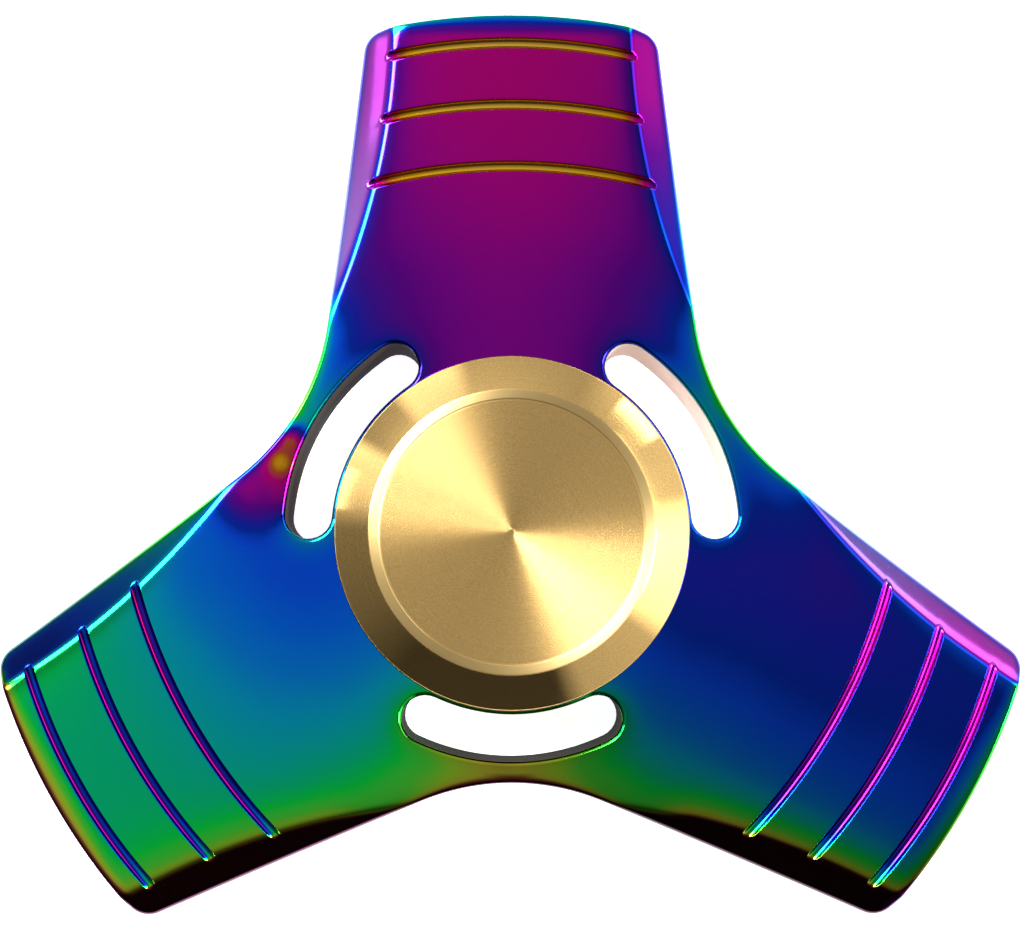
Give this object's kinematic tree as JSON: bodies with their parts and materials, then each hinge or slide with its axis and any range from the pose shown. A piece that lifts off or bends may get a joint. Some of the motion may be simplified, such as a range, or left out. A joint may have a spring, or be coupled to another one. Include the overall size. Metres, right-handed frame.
{
  "type": "fidget spinner",
  "caption": "Three-arm fidget spinner: grooved metal frame on a shielded ball bearing, held and spun between two round brass finger caps.",
  "frame": {"origin": "centre of the ball bearing, halfway through the frame's thickness", "axes": "+Z along the spin axis through the two finger caps, +Y along the first arm, X across it"},
  "size_m": [0.068, 0.0603, 0.0118],
  "materials": {
    "rainbow_metal": "polished, rainbow interference coating",
    "brass": "spun, fine turned lines",
    "race_steel": "ground bearing steel",
    "ball_steel": "mirror polished",
    "cage_steel": "pressed sheet",
    "shield_steel": "pressed sheet",
    "sleeve_steel": "turned"
  },
  "bodies": {
    "hub": {"cap_upper": "brass", "cap_lower": "brass", "hub_sleeve": "sleeve_steel", "bearing_inner_race": "race_steel"},
    "rotor": {"spinner_body": "rainbow_metal", "bearing_outer_race": "race_steel", "shield_upper": "shield_steel", "shield_lower": "shield_steel", "shield_ring_upper": "sleeve_steel", "shield_ring_lower": "sleeve_steel"},
    "cage": {"cage_upper": "cage_steel", "cage_lower": "cage_steel", "cage_rivets": "cage_steel"},
    "ball_a": {"ball_1": "ball_steel"},
    "ball_b": {"ball_2": "ball_steel"},
    "ball_c": {"ball_3": "ball_steel"},
    "ball_d": {"ball_4": "ball_steel"},
    "ball_e": {"ball_5": "ball_steel"},
    "ball_f": {"ball_6": "ball_steel"},
    "ball_g": {"ball_7": "ball_steel"}
  },
  "joints": [
    {"name": "rotor_spin", "type": "hinge", "parent": "hub", "child": "rotor", "pos_m": [0, 0, 0], "axis": [0, 0, 1], "continuous": true},
    {"name": "cage_orbit", "type": "hinge", "parent": "hub", "child": "cage", "pos_m": [0, 0, 0], "axis": [0, 0, 1], "continuous": true},
    {"name": "ball_1_roll", "type": "hinge", "parent": "cage", "child": "ball_a", "pos_m": [0, 0.0075, 0], "axis": [0, 0, 1], "continuous": true},
    {"name": "ball_2_roll", "type": "hinge", "parent": "cage", "child": "ball_b", "pos_m": [-0.00586, 0.00468, 0], "axis": [0, 0, 1], "continuous": true},
    {"name": "ball_3_roll", "type": "hinge", "parent": "cage", "child": "ball_c", "pos_m": [-0.00731, -0.00167, 0], "axis": [0, 0, 1], "continuous": true},
    {"name": "ball_4_roll", "type": "hinge", "parent": "cage", "child": "ball_d", "pos_m": [-0.00325, -0.00676, 0], "axis": [0, 0, 1], "continuous": true},
    {"name": "ball_5_roll", "type": "hinge", "parent": "cage", "child": "ball_e", "pos_m": [0.00325, -0.00676, 0], "axis": [0, 0, 1], "continuous": true},
    {"name": "ball_6_roll", "type": "hinge", "parent": "cage", "child": "ball_f", "pos_m": [0.00731, -0.00167, 0], "axis": [0, 0, 1], "continuous": true},
    {"name": "ball_7_roll", "type": "hinge", "parent": "cage", "child": "ball_g", "pos_m": [0.00586, 0.00468, 0], "axis": [0, 0, 1], "continuous": true}
  ],
  "couplings": [
    {"joint": "cage_orbit", "follows": "rotor_spin", "ratio": 0.6323},
    {"joint": "ball_1_roll", "follows": "rotor_spin", "ratio": 1.7573},
    {"joint": "ball_2_roll", "follows": "rotor_spin", "ratio": 1.7573},
    {"joint": "ball_3_roll", "follows": "rotor_spin", "ratio": 1.7573},
    {"joint": "ball_4_roll", "follows": "rotor_spin", "ratio": 1.7573},
    {"joint": "ball_5_roll", "follows": "rotor_spin", "ratio": 1.7573},
    {"joint": "ball_6_roll", "follows": "rotor_spin", "ratio": 1.7573},
    {"joint": "ball_7_roll", "follows": "rotor_spin", "ratio": 1.7573}
  ]
}
